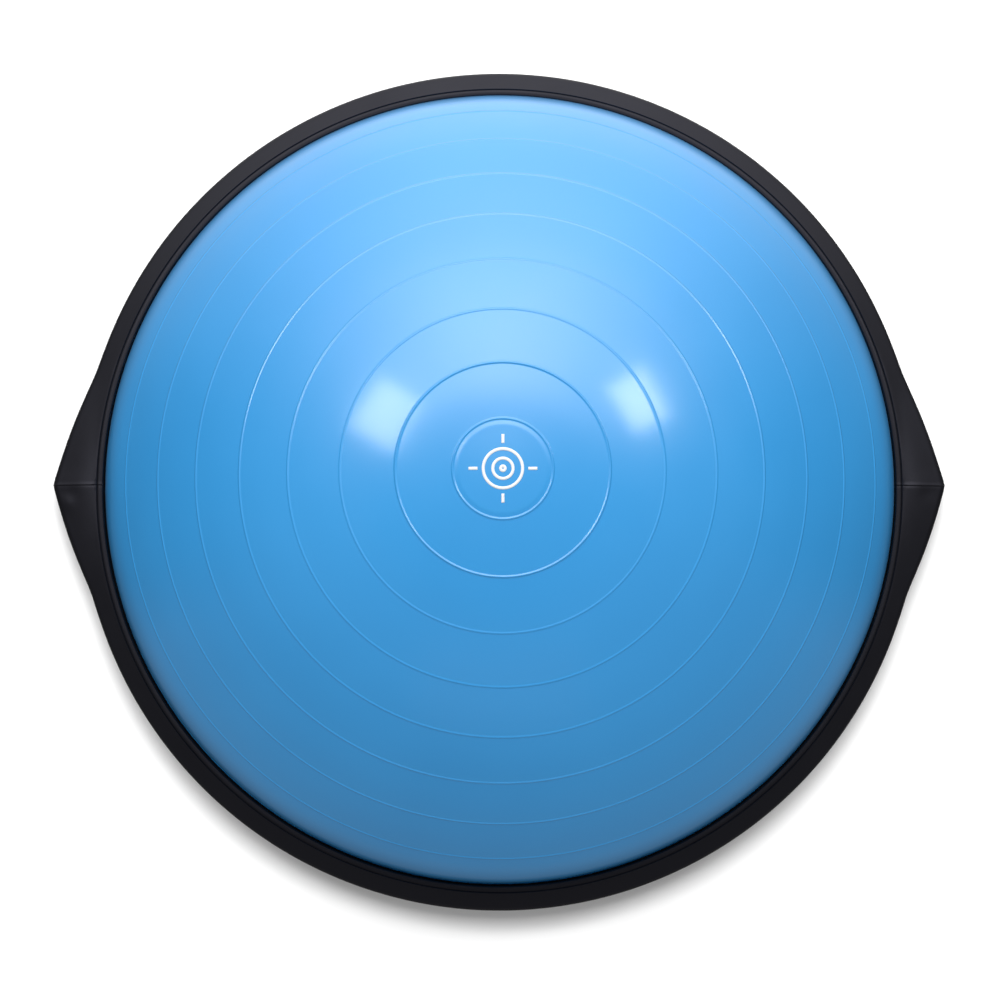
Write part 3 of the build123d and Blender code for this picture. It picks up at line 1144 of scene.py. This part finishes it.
# %% World helpers
world = bpy.data.worlds.new("studio_air")
bpy.context.scene.world = world
world.use_nodes = True
air = world.node_tree
background = next(n for n in air.nodes if n.type == "BACKGROUND")


def air_node(kind, *values, **settings):
    """A world node with its inputs filled in order."""
    made = air.nodes.new(kind)
    for key, value in settings.items():
        setattr(made, key, value)
    for socket, value in zip(made.inputs, values):
        if isinstance(value, bpy.types.NodeSocket):
            air.links.new(value, socket)
        else:
            socket.default_value = value
    return made


def maths(operation, *values):
    """The result of one step of arithmetic."""
    return air_node("ShaderNodeMath", *values, operation=operation).outputs[0]


def by_height(height, stops):
    """A brightness that follows the height of a direction, by (height, brightness) stops."""
    share = air_node("ShaderNodeMapRange", height, -1.0, 1.0, 0.0, 1.0).outputs[0]
    ramp = air_node("ShaderNodeValToRGB", share)
    elements = ramp.color_ramp.elements
    top = max(value for _, value in stops)
    for number, (place, value) in enumerate(stops):
        element = elements[number] if number < 2 else elements.new(1.0)
        element.position = (place + 1) / 2
        element.color = (value / top, value / top, value / top, 1)
    print("brightest", top, "at height", max(stops, key=lambda stop: stop[1])[0])
    return maths("MULTIPLY", ramp.outputs["Color"], top)


direction = air_node("ShaderNodeTexCoord").outputs["Generated"]
x, y, z = air_node("ShaderNodeSeparateXYZ", direction).outputs

# %% [markdown]
# ## A studio wall of light
#
# A tall, wide, bright wall stands on the far side: it puts the pale veil on the far half of the dome
# and ends sharply, a little short of the top, which gives the glow above the crown its lower edge.
# The wall fades to the sides with a power of the cosine of the bearing. All round, the air is dim,
# and below the horizon it is nearly dark. A weak glow lies low on the near side, where the room's
# floor shows in the lower part of the dome. The camera itself sees plain pale air.

# %% Surroundings
dim_air = by_height(z, [
    (-0.7, 0.06), (-0.25, 0.09), (0.0, 0.12), (0.25, 0.17), (0.5, 0.27), (0.8, 0.30), (0.9, 0.24),
    (1.0, 0.30),
])
wall = by_height(z, [
    (-0.80, 0.10), (-0.60, 1.32), (-0.1, 1.30), (0.12, 1.60), (0.4, 1.95), (0.55, 2.65), (0.8, 3.40),
    (0.895, 3.50), (0.940, 1.10), (0.975, 0.95), (1.0, 0.65),
])
near_glow = by_height(z, [(-0.8, 0.04), (-0.5, 0.17), (-0.1, 0.15), (0.15, 0.10), (0.5, 0.0)])

flat_square = maths("ADD", maths("MULTIPLY", x, x), maths("MULTIPLY", y, y))
flat_safe = maths("MAXIMUM", flat_square, 0.0001)
far_side = maths("MAXIMUM", y, 0.0)
cosine_square = maths("DIVIDE", maths("MULTIPLY", far_side, far_side), flat_safe)
wall_light = maths("MULTIPLY_ADD", wall, maths("POWER", cosine_square, 1.3), dim_air)
towards_far = maths("DIVIDE", y, maths("POWER", flat_safe, 0.5))
near_side = air_node("ShaderNodeMapRange", towards_far, -0.18, -0.38, 0.0, 1.0).outputs[0]
all_light = maths("MULTIPLY_ADD", near_glow, near_side, wall_light)

air_seen = 0.93
brightness = air_node("ShaderNodeMix", data_type="FLOAT")
air.links.new(air_node("ShaderNodeLightPath").outputs["Is Camera Ray"], brightness.inputs[0])
air.links.new(all_light, brightness.inputs[2])
brightness.inputs[3].default_value = air_seen
air.links.new(brightness.outputs[0], background.inputs["Strength"])
background.inputs["Color"].default_value = (1.0, 1.0, 1.0, 1)
bpy.context.scene.view_settings.view_transform = "Standard"
bpy.context.scene.view_settings.look = "None"
print("world nodes:", len(air.nodes))
